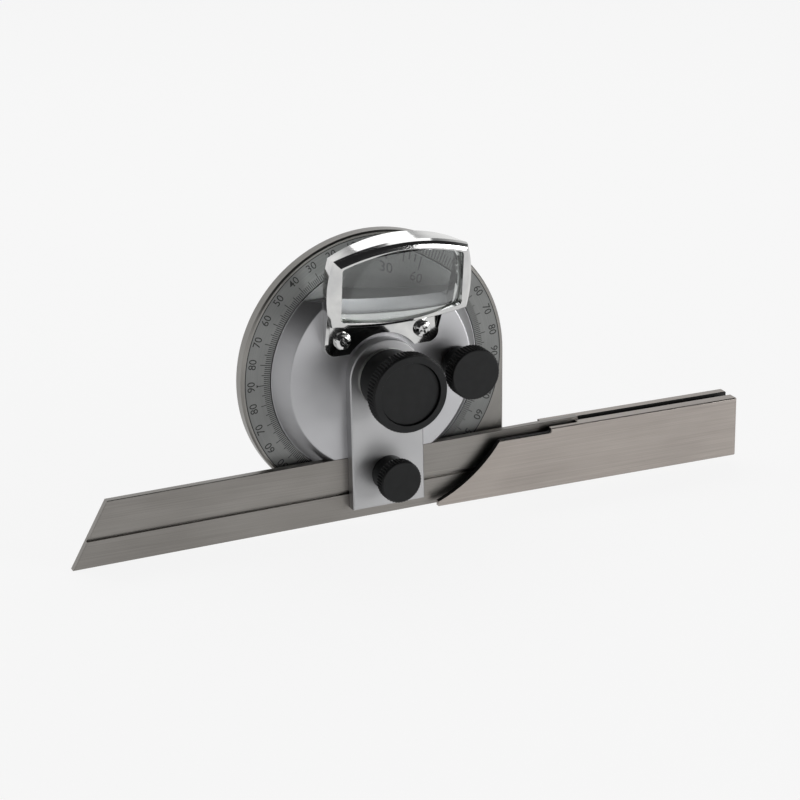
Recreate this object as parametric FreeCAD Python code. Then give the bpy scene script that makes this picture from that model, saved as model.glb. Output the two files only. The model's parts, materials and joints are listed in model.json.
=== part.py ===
"""Universal bevel protractor with a slotted stock, a swivelling blade and a magnifier.

Frame: X runs along the stock to the right, Z is up, and the dial faces -Y.
The origin is the swivel axis at the back face of the dial body.
"depth" is the distance in front of the dial face, so the back face is at -body_thickness.
Everything that swivels is drawn at the reading of zero and then turned to rest_reading.
"""
import FreeCAD, Part
import math
import os

Vec = FreeCAD.Vector

# ---------------------------------------------------------------- driving dimensions, mm
rest_reading = 50 / 60          # degrees between the blade and the stock at rest

# dial body and its scale ring
body_radius = 39.0
body_thickness = 4.0
rim_chamfer = 0.5
back_chamfer = 0.3
scale_ring_outer = 37.9
scale_ring_inner = 30.6
scale_ring_thickness = 1.5
seat_clearance = 0.05           # round pieces let into a seat
gear_floor = 1.0                # body left behind the gear recess
hub_radius = 14.0               # raised centre of the gear recess

# turret that swivels inside the scale ring
turret_gap = 0.2                # radial gap to the scale ring
turret_flange = 1.5
turret_play = 0.1               # axial gap behind the flange
dome_height = 4.6
dome_front_radius = 26.8
dome_base_step = 0.15           # flange edge left proud of the dome's foot
dome_edge_round = 0.5
vernier_chord = 22.4            # height of the flat that bares the vernier
vernier_thickness = 0.7
vernier_screw_x = 13.5
vernier_screw_radius = 0.6
vernier_screw_bite = 0.45        # into the plate from behind

# blade
blade_length = 150.0
blade_width = 18.0
blade_thickness = 2.0
blade_top = 22.6                # upper edge, below the axis
blade_right = 60.0              # square end, right of the axis
blade_end_angle = 60.0
groove_width = 1.2
groove_depth = 0.9
groove_drop = 9.4               # upper edge of the blade to the groove
blade_seat_height = 2.5         # seat on the turret, above the dial face
blade_clearance = 0.05
blade_edge_break = 0.15

# stock
stock_right = 110.0
stock_top = 22.55               # below the axis
stock_height = 17.5
stock_back = -0.8               # depth of the rear face
stock_front = 8.2               # depth of the front face
stock_left = 15.3
slot_back = 1.9
slot_front = 4.9
slot_floor = 2.5                # metal left under the slot
pocket_front = 6.6
pocket_right = 59.2
swing_clearance = 1.1           # round the blade's corner as it swings
notch_depth = 1.15
notch_right = 50.1
notch_round = 0.7
arm_swing_radius = 41.5         # concave left end of the front wall
turret_swing_gap = 0.5
ring_relief = 0.1               # stock kept clear of the scale ring
stock_edge_break = 0.25
stock_screws_at = ((35.5, -28.0), (32.5, -34.0), (25.0, -36.4))
stock_dowels_at = ((36.3, -36.3), (28.5, -31.8))
stock_screw_radius = 1.25
stock_screw_bite = 1.9
stock_dowel_radius = 1.0
stock_dowel_length = 4.2

# swivel pivot
post_radius = 5.0
post_flange_radius = 9.0
post_flange = 1.0
post_thread_radius = 3.0
post_length = 20.5              # depth of the threaded end
running_clearance = 0.05
bush_wall = 2.0
post_screw_circle = 7.0
post_screw_radius = 0.9
post_screw_length = 2.0

# clamp arm over the blade
arm_half_width = 10.65
arm_thickness = 3.2
arm_drop = 37.0                 # lower end, below the axis
arm_edge_break = 0.3
arm_screw_x = 7.5
arm_screw_z = -14.0
arm_screw_radius = 1.25
arm_screw_bite = 2.4
key_length = 20.0
key_seat = 0.9
key_play = 0.05                 # each side, in the groove

# central clamp knob
washer_radius = 8.1
washer_thickness = 0.8
disc_spring_thickness = 0.4
disc_spring_rise = 0.4
knob_neck_radius = 8.4
knob_radius = 11.0
knob_head = 4.6
knob_front = 24.0               # depth of the rim
knob_rim_inner = 8.75
knob_recess = 1.6
knob_cap_thickness = 0.8
knob_flutes = 72
knob_undercut = 0.6             # neck blends into the head

# blade clamp
clamp_x = 0.0
clamp_z = -27.6
clamp_front = 16.5
clamp_radius = 6.0
clamp_head = 3.6
clamp_neck_radius = 5.0
clamp_flutes = 44
clamp_screw_radius = 2.0
shoe_radius = 3.2
shoe_thickness = 1.2

# fine adjustment: pinion on the turret, internal ring gear in the body
gear_module = 0.5
ring_teeth = 102
pinion_teeth = 13
pressure_angle = 20.0
backlash = 0.10
ring_addendum = 0.7             # in modules
pinion_addendum = 0.95
dedendum = 1.25
ring_gear_outer = 29.4
ring_gear_thickness = 1.3
pinion_width = 1.15
pinion_shaft_radius = 1.5
pinion_bush_wall = 1.2
pinion_bush_rim = 0.8           # flange on the dome, beyond the wall
pinion_bush_flange = 0.6
fine_radius = 7.25
fine_front = 17.4
fine_head = 4.8
fine_neck_radius = 4.6
fine_flutes = 50
fine_seat_gap = 0.3
set_screw_radius = 0.75

flute_depth = 0.28
knob_chamfer = 0.5

# magnifier: outlines are (half width at the top, half width at the foot, bulge of the sides,
# foot, top, bow of the foot, bow of the top)
glass_outline = (17.45, 17.45, 0.0, 22.05, 37.1, 1.65, 2.9)
bezel_outline = (19.2, 19.6, 1.4, 20.1, 38.9, 1.6, 3.3)
hood_outline = (18.8, 18.6, 1.1, 20.6, 37.9, 1.5, 4.7)
glass_corner = 1.0
bezel_front = 20.3
bezel_shoulder = 18.0           # depth of the bezel's widest outline
bezel_rim = 0.45                # flat rim round the glass
bezel_lip = 1.3                 # metal in front of the lens's rim
bezel_steps = 3                 # facets across the bezel's curve
hood_back = 13.2
side_cut_high = 27.5            # sides of the hood are cut away below this
side_cut_low = 22.5
side_cut_front = 16.6
mag_lean = 8.0                  # degrees the hood leans forward on its screws
lens_edge = 1.4                 # thickness of the lens at its edge
lens_lap = 0.3                  # lens edge hidden behind the bezel
lens_radius = 50.0              # domed front; the side towards the scale is flat
retainer_thickness = 0.5
retainer_width = 0.5
mag_plate_thickness = 1.0
mag_plate_half = 16.75
mag_plate_low = 7.3
mag_plate_high = 19.6
mag_plate_corner = 3.2
mag_plate_gap = 1.35            # arch round the clamp arm's head
cheek_low = 11.0                # lower edge of a cheek where it leaves the plate
cheek_high = 22.5
cheek_tip_low = 26.0            # the same inside the hood
cheek_tip_high = 34.0
cheek_reach = 2.6               # cheek held inside the hood
mag_screw_x = 11.7
mag_screw_z = 11.5
mag_screw_head = 2.4
mag_screw_head_height = 1.4
mag_screw_rim = 0.5             # height of the head's upright rim
mag_screw_brow = 2.1            # radius where the head turns over
mag_screw_brow_height = 1.05
mag_screw_crown = 1.3           # radius of its flat top
mag_screw_radius = 1.0
mag_screw_bite = 2.6
mag_screw_slot = 0.6
mag_screw_turn = 25             # degrees, of its crossed slots
hood_screw_radius = 0.6
hood_screw_head = 1.1
hood_screw_head_height = 0.4
hood_screw_bite = 0.9           # into the side of the hood
hood_screw_z = 30.0

# ---------------------------------------------------------------- worked-out sizes
scale_seat_depth = -scale_ring_thickness
turret_radius = scale_ring_inner - turret_gap
turret_back = -turret_flange
turret_floor = turret_back - turret_play
gear_depth = -body_thickness + gear_floor
dome_base_radius = turret_radius - dome_base_step
blade_back = blade_seat_height
blade_front = blade_back + blade_thickness
blade_bottom = blade_top + blade_width
groove_top = blade_top + groove_drop
swing_radius = math.hypot(blade_right, blade_bottom) + swing_clearance
stock_bottom = stock_top + stock_height
arm_back = dome_height
arm_front = arm_back + arm_thickness
bush_radius = post_radius + running_clearance + bush_wall
pitch_radius = gear_module * ring_teeth / 2
pinion_pitch_radius = gear_module * pinion_teeth / 2
pinion_x = pitch_radius - pinion_pitch_radius
pinion_turn = -rest_reading * ring_teeth / pinion_teeth
pinion_bush_radius = pinion_shaft_radius + running_clearance + pinion_bush_wall
washer_front = arm_front + washer_thickness
knob_base = washer_front + seat_clearance
lens_front = bezel_front - bezel_lip - seat_clearance
lens_back = lens_front - lens_edge
cavity_half = glass_outline[0] + lens_lap + seat_clearance
cheek_tip = hood_back + cheek_reach
cheek_outer = cavity_half - seat_clearance
cheek_inner = cheek_outer - mag_plate_thickness
hood_screw_depth = hood_back + cheek_reach / 2
overcut = 1.0                   # how far a cutting tool runs past the metal


# ---------------------------------------------------------------- building blocks
def y_at(depth):
    """Y of a plane that lies this far in front of the dial face."""
    return -(body_thickness + depth)


def disc(radius, back, front, x=0.0, z=0.0):
    return Part.makeCylinder(radius, front - back, Vec(x, y_at(back), z), Vec(0, -1, 0))


def block(x0, x1, z0, z1, back, front):
    return Part.makeBox(x1 - x0, front - back, z1 - z0, Vec(x0, y_at(front), z0))


def turned(profile, x=0.0, z=0.0):
    """Solid of revolution about an axis along Y from (radius, depth) points."""
    points = [Vec(x + radius, y_at(depth), z) for radius, depth in profile]
    face = Part.Face(Part.makePolygon(points + [points[0]]))
    return face.revolve(Vec(x, 0, z), Vec(0, 1, 0), 360)


def plate(edges, back, front):
    """Extrude a closed outline drawn at Y = 0 between two depths."""
    face = Part.Face(Part.Wire(edges))
    face.translate(Vec(0, y_at(back), 0))
    return face.extrude(Vec(0, back - front, 0))


def lines(points):
    """Closed polygon edges through (x, z) points."""
    ends = [Vec(x, 0, z) for x, z in points]
    return Part.makePolygon(ends + [ends[0]]).Edges


def spun(shape, degrees, x=0.0, z=0.0):
    """Turn anticlockwise as seen from the front."""
    shape = shape.copy()
    shape.rotate(Vec(x, 0, z), Vec(0, -1, 0), degrees)
    return shape


def edges_at_depth(shape, depth):
    """Edges that lie wholly in the plane at this depth."""
    y = y_at(depth)
    flat = [e for e in shape.Edges if abs(e.BoundBox.YMin - y) < 1e-4 and abs(e.BoundBox.YMax - y) < 1e-4]
    return flat


def rim_edges(shape, depth, radius):
    """Round edges of this radius about the swivel axis at this depth."""
    found = []
    for edge in edges_at_depth(shape, depth):
        curve = edge.Curve
        if isinstance(curve, Part.Circle) and abs(curve.Radius - radius) < 1e-4:
            found.append(edge)
    return found


def countersunk_screw(radius, length, back, x, z):
    """Screw put in from the back, its flat head flush with the plane at this depth."""
    head = radius * 2
    body = turned([(0, back), (head, back), (radius, back + radius), (radius, back + length),
                   (0, back + length)], x, z)
    slot = block(x - head, x + head, z - radius / 5, z + radius / 5, back - overcut, back + radius / 3)
    return body.cut(slot)


def countersunk_hole(radius, length, back, x, z):
    head = radius * 2
    return turned([(0, back - overcut), (head + overcut, back - overcut), (radius, back + radius),
                   (radius, back + length), (0, back + length)], x, z)


def fluted(profile, flutes, x=0.0, z=0.0, head_back=0.0, head_front=0.0):
    """Turned knob whose head, between two depths, carries straight V flutes."""
    knob = turned(profile, x, z)
    outer = max(radius for radius, depth in profile)
    step = math.pi / flutes
    star = []
    for i in range(2 * flutes):
        radius = outer + flute_depth / 10 if i % 2 == 0 else outer - flute_depth
        star.append((x + radius * math.cos(i * step), z + radius * math.sin(i * step)))
    mill = disc(outer + overcut, head_back, head_front, x, z)
    mill = mill.cut(plate(lines(star), head_back - overcut, head_front + overcut))
    return knob.cut(mill)


# ---------------------------------------------------------------- dial body
def body_outline():
    """Disc with a square lower right corner that carries the stock."""
    r = body_radius
    arc = Part.Arc(Vec(r, 0, 0), Vec(-r * math.sqrt(0.5), 0, r * math.sqrt(0.5)), Vec(0, 0, -r))
    corner = Vec(r, 0, -r)
    return [arc.toShape(), Part.makeLine(Vec(0, 0, -r), corner), Part.makeLine(corner, Vec(r, 0, 0))]


def make_dial_body():
    body = plate(body_outline(), -body_thickness, 0)
    body = body.makeChamfer(rim_chamfer, edges_at_depth(body, 0))
    body = body.makeChamfer(back_chamfer, edges_at_depth(body, -body_thickness))
    body = body.cut(disc(scale_ring_outer + seat_clearance, scale_seat_depth, overcut))
    body = body.cut(disc(turret_radius + turret_gap, turret_floor, overcut))
    recess = disc(ring_gear_outer + seat_clearance, gear_depth, overcut)
    body = body.cut(recess.cut(disc(hub_radius, gear_depth, turret_floor)))
    body = body.cut(block(stock_left - seat_clearance, body_radius + overcut, -body_radius - overcut,
                          -stock_top - notch_depth + seat_clearance, stock_back, overcut))
    body = body.cut(disc(post_radius + seat_clearance, -body_thickness - overcut, overcut))
    body = body.cut(disc(post_flange_radius + seat_clearance, -body_thickness - overcut,
                         post_flange - body_thickness))
    for x, z in post_screw_places():
        body = body.cut(disc(post_screw_radius + seat_clearance, -body_thickness, overcut, x, z))
    for x, z in stock_screws_at:
        body = body.cut(countersunk_hole(stock_screw_radius + seat_clearance, body_thickness + overcut,
                                         -body_thickness, x, z))
    for x, z in stock_dowels_at:
        body = body.cut(disc(stock_dowel_radius + seat_clearance, dowel_back(), overcut, x, z))
    return body


def make_scale_ring():
    ring = disc(scale_ring_outer, scale_seat_depth, 0)
    ring = ring.cut(disc(scale_ring_inner, scale_seat_depth - overcut, overcut))
    return ring.makeChamfer(seat_clearance * 2, edges_at_depth(ring, 0))


# ---------------------------------------------------------------- swivel pivot
def post_screw_places():
    turns = [math.radians(90 + 120 * i) for i in range(3)]
    return [(post_screw_circle * math.cos(t), post_screw_circle * math.sin(t)) for t in turns]


def make_pivot_post():
    back = -body_thickness
    post = turned([(0, back), (post_flange_radius, back), (post_flange_radius, back + post_flange),
                   (post_radius, back + post_flange), (post_radius, washer_front),
                   (post_thread_radius, washer_front), (post_thread_radius, post_length), (0, post_length)])
    for x, z in post_screw_places():
        post = post.cut(countersunk_hole(post_screw_radius + seat_clearance, post_flange + overcut,
                                         back, x, z))
    return post


def make_post_screws():
    return [countersunk_screw(post_screw_radius, post_screw_length, -body_thickness, x, z)
            for x, z in post_screw_places()]


# ---------------------------------------------------------------- stock
def dowel_back():
    return stock_back + stock_dowel_length / 2 - stock_dowel_length


def make_stock():
    top = -stock_top
    bottom = -stock_bottom
    bar = block(stock_left, stock_right, bottom, top, stock_back, stock_front)
    notch = block(stock_left - overcut, notch_right, top - notch_depth, top + overcut,
                  stock_back - overcut, stock_front + overcut)
    corner = [e for e in notch.Edges if abs(e.BoundBox.XMin - notch_right) < 1e-4
              and abs(e.BoundBox.ZMax - top + notch_depth) < 1e-4]
    bar = bar.cut(notch.makeFillet(notch_round, corner))
    long_edges = [e for e in bar.Edges if e.BoundBox.XLength > stock_height or
                  abs(e.BoundBox.XMin - stock_right) < 1e-4]
    bar = bar.makeChamfer(stock_edge_break, long_edges)
    floor = block(0, stock_right + overcut, bottom - overcut, bottom + slot_floor, slot_back, slot_front)
    floor = floor.cut(disc(swing_radius, slot_back - overcut, slot_front + overcut))
    slot = block(stock_left - overcut, stock_right + overcut, bottom - overcut, top + overcut,
                 slot_back, slot_front)
    bar = bar.cut(slot.cut(floor))
    bar = bar.cut(block(stock_left - overcut, pocket_right, bottom - overcut, top + overcut,
                        slot_front - overcut, pocket_front))
    bar = bar.cut(disc(arm_swing_radius, slot_back, stock_front + overcut))
    bar = bar.cut(disc(turret_radius + turret_swing_gap, stock_back - overcut, slot_back + overcut))
    bar = bar.cut(disc(scale_ring_outer + turret_gap, stock_back - overcut, ring_relief))
    for x, z in stock_screws_at:
        bar = bar.cut(disc(stock_screw_radius + seat_clearance, stock_back - overcut,
                           stock_back + stock_screw_bite + seat_clearance, x, z))
    for x, z in stock_dowels_at:
        bar = bar.cut(disc(stock_dowel_radius + seat_clearance, stock_back - overcut,
                           dowel_back() + stock_dowel_length + seat_clearance, x, z))
    return bar


def make_stock_screws():
    length = body_thickness + stock_back + stock_screw_bite
    return [countersunk_screw(stock_screw_radius, length, -body_thickness, x, z) for x, z in stock_screws_at]


def make_stock_dowels():
    return [disc(stock_dowel_radius, dowel_back(), dowel_back() + stock_dowel_length, x, z)
            for x, z in stock_dowels_at]


# ---------------------------------------------------------------- gears
def involute(angle):
    return math.tan(angle) - angle


def gear_outline(teeth, inner, outer, thicken, steps, x=0.0):
    """Closed outline whose teeth point outwards, with involute flanks between two radii."""
    pitch = gear_module * teeth / 2
    alpha = math.radians(pressure_angle)
    base = pitch * math.cos(alpha)
    middle = math.pi / (2 * teeth) + thicken / (2 * pitch) + involute(alpha)
    radii = [inner + (outer - inner) * i / steps for i in range(steps + 1)]
    flank = [(r, middle - involute(math.acos(min(1.0, base / r)))) for r in radii]
    points = []
    for i in range(teeth):
        centre = 2 * math.pi * i / teeth
        side = [(r, centre - a) for r, a in flank] + [(r, centre + a) for r, a in reversed(flank)]
        points += [(x + r * math.cos(a), r * math.sin(a)) for r, a in side]
    return lines(points)


def make_ring_gear():
    gear = disc(ring_gear_outer, gear_depth, gear_depth + ring_gear_thickness)
    space = gear_outline(ring_teeth, pitch_radius - ring_addendum * gear_module,
                         pitch_radius + dedendum * gear_module, backlash, 1)
    return gear.cut(plate(space, gear_depth - overcut, overcut))


def make_pinion_shaft():
    back = gear_depth + seat_clearance
    teeth = gear_outline(pinion_teeth, pinion_pitch_radius - dedendum * gear_module,
                         pinion_pitch_radius + pinion_addendum * gear_module, -backlash, 3, pinion_x)
    shaft = plate(teeth, back, back + pinion_width)
    shaft = shaft.fuse(disc(pinion_shaft_radius, back, fine_front - fine_head / 2, pinion_x))
    return spun(shaft, pinion_turn, pinion_x)


# ---------------------------------------------------------------- turret
def make_turret():
    turret = turned([(0, 0), (dome_base_radius, 0), (dome_front_radius, dome_height), (0, dome_height)])
    turret = turret.makeFillet(dome_edge_round, rim_edges(turret, dome_height, dome_front_radius))
    reach = turret_radius + overcut
    turret = turret.cut(block(-reach, reach, vernier_chord, reach, 0, dome_height + overcut))
    turret = turret.cut(block(-reach, reach, -reach, blade_clearance - blade_top, blade_seat_height,
                              dome_height + overcut))
    turret = turret.fuse(disc(turret_radius, turret_back, 0)).removeSplitter()
    turret = turret.cut(vernier_blank(seat_clearance))
    turret = turret.cut(disc(bush_radius + seat_clearance, turret_back - overcut, dome_height + overcut))
    turret = turret.cut(disc(pinion_bush_radius + seat_clearance, turret_back - overcut,
                             dome_height + overcut, pinion_x))
    for x in (-vernier_screw_x, vernier_screw_x):
        turret = turret.cut(countersunk_hole(vernier_screw_radius + seat_clearance, turret_flange,
                                             turret_back, x, vernier_screw_z()))
    for x in (-arm_screw_x, arm_screw_x):
        turret = turret.cut(countersunk_hole(arm_screw_radius + seat_clearance,
                                             dome_height + 2 * overcut - turret_back,
                                             turret_back, x, arm_screw_z))
    for x in (-mag_screw_x, mag_screw_x):
        turret = turret.cut(disc(mag_screw_radius + seat_clearance, dome_height - mag_screw_bite,
                                 dome_height + overcut, x, mag_screw_z))
    return turret


def make_turret_bush():
    bush = disc(bush_radius, turret_back, dome_height)
    return bush.cut(disc(post_radius + running_clearance, turret_back - overcut, dome_height + overcut))


def vernier_screw_z():
    return (vernier_chord + turret_radius * math.cos(math.asin(vernier_screw_x / turret_radius))) / 2


def vernier_blank(margin):
    """Segment of the turret above the flat, let into the flange."""
    segment = disc(turret_radius + margin, -vernier_thickness, 0)
    reach = turret_radius + overcut
    return segment.common(block(-reach, reach, vernier_chord - margin, reach, -body_thickness, overcut))


def make_vernier_plate():
    vernier = vernier_blank(0)
    for x in (-vernier_screw_x, vernier_screw_x):
        vernier = vernier.cut(disc(vernier_screw_radius + seat_clearance, -vernier_thickness - overcut,
                                   vernier_screw_bite - vernier_thickness + seat_clearance,
                                   x, vernier_screw_z()))
    return vernier


def make_vernier_screws():
    length = turret_flange - vernier_thickness + vernier_screw_bite
    return [countersunk_screw(vernier_screw_radius, length, turret_back, x, vernier_screw_z())
            for x in (-vernier_screw_x, vernier_screw_x)]


def make_pinion_bush():
    bore = pinion_shaft_radius + running_clearance
    rim = pinion_bush_radius + pinion_bush_rim
    front = dome_height + pinion_bush_flange
    return turned([(bore, turret_back), (pinion_bush_radius, turret_back), (pinion_bush_radius, dome_height),
                   (rim, dome_height), (rim, front), (bore, front)], pinion_x)


# ---------------------------------------------------------------- clamp arm
def make_clamp_arm():
    w = arm_half_width
    edges = [Part.Arc(Vec(w, 0, 0), Vec(0, 0, w), Vec(-w, 0, 0)).toShape(),
             Part.makeLine(Vec(-w, 0, 0), Vec(-w, 0, -arm_drop)),
             Part.makeLine(Vec(-w, 0, -arm_drop), Vec(w, 0, -arm_drop)),
             Part.makeLine(Vec(w, 0, -arm_drop), Vec(w, 0, 0))]
    arm = plate(edges, arm_back, arm_front)
    arm = arm.makeChamfer(arm_edge_break, edges_at_depth(arm, arm_front))
    arm = arm.cut(disc(post_radius + 2 * running_clearance, arm_back - overcut, arm_front + overcut))
    arm = arm.cut(disc(clamp_screw_radius + running_clearance, arm_back - overcut, arm_front + overcut,
                       clamp_x, clamp_z))
    arm = arm.cut(disc(shoe_radius + running_clearance, arm_back - overcut, shoe_front() + running_clearance,
                       clamp_x, clamp_z))
    arm = arm.cut(key_blank(0, arm_back - overcut, arm_back + key_seat))
    for x in (-arm_screw_x, arm_screw_x):
        arm = arm.cut(disc(arm_screw_radius + seat_clearance, arm_back - overcut,
                           arm_back + arm_screw_bite + seat_clearance, x, arm_screw_z))
    return arm


def make_arm_screws():
    length = arm_back - turret_back + arm_screw_bite
    return [countersunk_screw(arm_screw_radius, length, turret_back, x, arm_screw_z)
            for x in (-arm_screw_x, arm_screw_x)]


def key_blank(play, back, front):
    high = -groove_top - play
    low = -groove_top - groove_width + play
    return block(-key_length / 2, key_length / 2, low, high, back, front)


def make_guide_key():
    return key_blank(key_play, blade_front - groove_depth + 2 * key_play, arm_back + key_seat - key_play)


def shoe_front():
    return blade_front + running_clearance + shoe_thickness


def make_clamp_shoe():
    return disc(shoe_radius, blade_front + running_clearance, shoe_front(), clamp_x, clamp_z)


# ---------------------------------------------------------------- blade
def make_blade():
    left = blade_right - blade_length
    slant = blade_width / math.tan(math.radians(blade_end_angle))
    blade = plate(lines([(left, -blade_bottom), (blade_right, -blade_bottom), (blade_right, -blade_top),
                         (left + slant, -blade_top)]), blade_back, blade_front)
    blade = blade.makeChamfer(blade_edge_break, edges_at_depth(blade, blade_front))
    groove = block(left - overcut, blade_right + overcut, -groove_top - groove_width, -groove_top,
                   blade_front - groove_depth, blade_front + overcut)
    return blade.cut(groove)


# ---------------------------------------------------------------- knobs
def make_clamp_washer():
    washer = disc(washer_radius, arm_front, washer_front)
    return washer.cut(disc(post_radius + 2 * running_clearance, arm_front - overcut, washer_front + overcut))


def make_disc_spring():
    back = washer_front + seat_clearance
    inner = post_thread_radius + 4 * running_clearance
    outer = knob_neck_radius - 2 * overcut
    raised = back + disc_spring_rise
    return turned([(outer, back), (outer, back + disc_spring_thickness),
                   (inner, raised + disc_spring_thickness), (inner, raised)])


def make_clamp_knob():
    spring_room = disc_spring_thickness + disc_spring_rise + 2 * seat_clearance
    spring_outer = knob_neck_radius - 2 * overcut + 2 * running_clearance
    bore = post_thread_radius + running_clearance
    head_back = knob_front - knob_head
    bottom = knob_front - knob_recess
    profile = [(spring_outer, knob_base), (knob_neck_radius - knob_undercut, knob_base),
               (knob_neck_radius, knob_base + knob_undercut), (knob_neck_radius, head_back - knob_undercut),
               (knob_neck_radius + knob_undercut, head_back), (knob_radius - knob_chamfer, head_back),
               (knob_radius, head_back + knob_chamfer), (knob_radius, knob_front - 2 * knob_chamfer),
               (knob_radius - knob_chamfer, knob_front), (knob_rim_inner, knob_front),
               (knob_rim_inner, bottom), (0, bottom), (0, post_length + overcut / 2),
               (bore, post_length + overcut / 2), (bore, knob_base + spring_room),
               (spring_outer, knob_base + spring_room)]
    return fluted(profile, knob_flutes, 0, 0, head_back, knob_front - knob_chamfer)


def make_clamp_knob_cap():
    bottom = knob_front - knob_recess
    radius = knob_rim_inner - seat_clearance
    soft = knob_cap_thickness / 4
    return turned([(0, bottom), (radius, bottom), (radius, bottom + knob_cap_thickness - soft),
                   (radius - soft, bottom + knob_cap_thickness), (0, bottom + knob_cap_thickness)])


def small_knob(radius, head, neck, front, foot, bore, bore_front, flutes, x, z):
    """Knob with a fluted head on a plain neck, bored from behind for its screw or shaft."""
    head_back = front - head
    profile = [(bore, foot), (neck, foot), (neck, head_back), (radius - knob_chamfer, head_back),
               (radius, head_back + knob_chamfer), (radius, front - knob_chamfer),
               (radius - knob_chamfer, front), (0, front), (0, bore_front), (bore, bore_front)]
    return fluted(profile, flutes, x, z, head_back, front)


def make_fine_adjust_knob():
    knob = small_knob(fine_radius, fine_head, fine_neck_radius, fine_front, fine_foot(),
                      pinion_shaft_radius + seat_clearance, fine_front - fine_head / 2 + seat_clearance,
                      fine_flutes, pinion_x, 0)
    knob = knob.cut(set_screw_blank(seat_clearance))
    return spun(knob, pinion_turn, pinion_x)


def fine_foot():
    return dome_height + pinion_bush_flange + fine_seat_gap


def set_screw_blank(margin):
    """Radial screw through the neck of the fine knob, on its upper side."""
    depth = (fine_foot() + fine_front - fine_head) / 2
    start = pinion_shaft_radius + 2 * seat_clearance - margin
    length = fine_neck_radius - start - set_screw_radius / 2
    if margin:
        length += overcut
    foot = Vec(pinion_x, y_at(depth), start)
    return Part.makeCylinder(set_screw_radius + margin, length, foot, Vec(0, 0, 1))


def make_fine_set_screw():
    return spun(set_screw_blank(0), pinion_turn, pinion_x)


def make_blade_clamp_knob():
    return small_knob(clamp_radius, clamp_head, clamp_neck_radius, clamp_front, arm_front + running_clearance,
                      clamp_screw_radius + seat_clearance, clamp_front - clamp_head / 2 + seat_clearance,
                      clamp_flutes, clamp_x, clamp_z)


def make_blade_clamp_screw():
    back = shoe_front() + running_clearance
    return disc(clamp_screw_radius, back, clamp_front - clamp_head / 2, clamp_x, clamp_z)


# ---------------------------------------------------------------- magnifier
def bowed(start, end, bulge_x, bulge_z):
    """Edge between two points, curved through a middle point moved by the bulge."""
    if abs(bulge_x) + abs(bulge_z) < seat_clearance:
        return Part.makeLine(start, end)
    middle = (start + end) / 2 + Vec(bulge_x, 0, bulge_z)
    return Part.Arc(start, middle, end).toShape()


def pillow(sizes, margin, depth):
    """Closed outline with bowed edges, grown evenly by a margin, in the plane at this depth."""
    top, foot, bulge, low, high, low_bow, high_bow = sizes
    y = y_at(depth)
    corners = [Vec(top + margin, y, high + margin), Vec(-top - margin, y, high + margin),
               Vec(-foot - margin, y, low - margin), Vec(foot + margin, y, low - margin)]
    bulges = [(0, high_bow), (-bulge, 0), (0, -low_bow), (bulge, 0)]
    edges = [bowed(corners[i], corners[(i + 1) % 4], *bulges[i]) for i in range(4)]
    return Part.Wire(edges)


def loft(*wires):
    return Part.makeLoft(list(wires), True, True)


def prism(margin, back, front):
    """Solid with the outline of the glass, grown by a margin, with its upright edges rounded."""
    solid = loft(pillow(glass_outline, margin, back), pillow(glass_outline, margin, front))
    upright = [e for e in solid.Edges if e.BoundBox.XLength < 1e-4 and e.BoundBox.ZLength < 1e-4]
    return solid.makeFillet(glass_corner + margin, upright)


def blend(start, end, part):
    """Sizes that lie part of the way from one outline to another."""
    return tuple(a + (b - a) * part for a, b in zip(start, end))


def bezel_shell():
    """Convex bezel: quarter-round from the rim of the glass to the shoulder."""
    rim = tuple(a + b for a, b in zip(glass_outline, (bezel_rim, bezel_rim, 0, -bezel_rim, bezel_rim, 0, 0)))
    turns = [math.radians(90 * i / bezel_steps) for i in range(bezel_steps + 1)]
    wires = [pillow(blend(bezel_outline, rim, 1 - math.cos(t)), 0,
                    bezel_shoulder + (bezel_front - bezel_shoulder) * math.sin(t)) for t in turns]
    return loft(*wires)


def make_magnifier_frame():
    hood = loft(pillow(hood_outline, 0, hood_back), pillow(bezel_outline, 0, bezel_shoulder))
    shell = bezel_shell().fuse(hood)
    cavity = prism(lens_lap + seat_clearance, hood_back - overcut, bezel_front - bezel_lip)
    shell = shell.cut(cavity).cut(prism(0, hood_back, bezel_front + overcut))
    cut = [(hood_back - overcut, 0), (hood_back - overcut, side_cut_high), (hood_back, side_cut_high),
           (side_cut_front, side_cut_low), (side_cut_front, 0)]
    shell = shell.cut(sideways(cut, -bezel_outline[1] * 2, bezel_outline[1] * 2))
    for side in (-1, 1):
        shell = shell.cut(hood_screw_hole(side))
    return leant(shell.removeSplitter())


def sideways(profile, x0, x1):
    """Extrude a closed (depth, z) outline along X."""
    points = [Vec(x0, y_at(depth), z) for depth, z in profile]
    return Part.Face(Part.makePolygon(points + [points[0]])).extrude(Vec(x1 - x0, 0, 0))


def leant(shape):
    """Lean forward about the screws that hold the hood."""
    shape = shape.copy()
    shape.rotate(Vec(0, y_at(hood_screw_depth), hood_screw_z), Vec(1, 0, 0), mag_lean)
    return shape


def make_magnifier_lens():
    """Plano-convex lens: flat rim held behind the bezel, domed middle standing through it."""
    top = lens_front + lens_radius - math.sqrt(lens_radius ** 2 - glass_outline[0] ** 2)
    middle = (glass_outline[3] + glass_outline[4]) / 2
    ball = Part.makeSphere(lens_radius, Vec(0, y_at(top - lens_radius), middle))
    dome = prism(-2 * seat_clearance, lens_back, top + overcut).common(ball)
    return leant(prism(lens_lap, lens_back, lens_front).fuse(dome).removeSplitter())


def make_lens_retainer():
    front = lens_back - seat_clearance
    back = front - retainer_thickness
    ring = prism(lens_lap, back, front)
    return leant(ring.cut(prism(lens_lap - retainer_width, back - overcut, front + overcut)))


def hood_screw(side, radius, start, end):
    """Sideways cylinder between two distances from the middle."""
    return Part.makeCylinder(radius, end - start, Vec(side * start, y_at(hood_screw_depth), hood_screw_z),
                             Vec(side, 0, 0))


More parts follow.
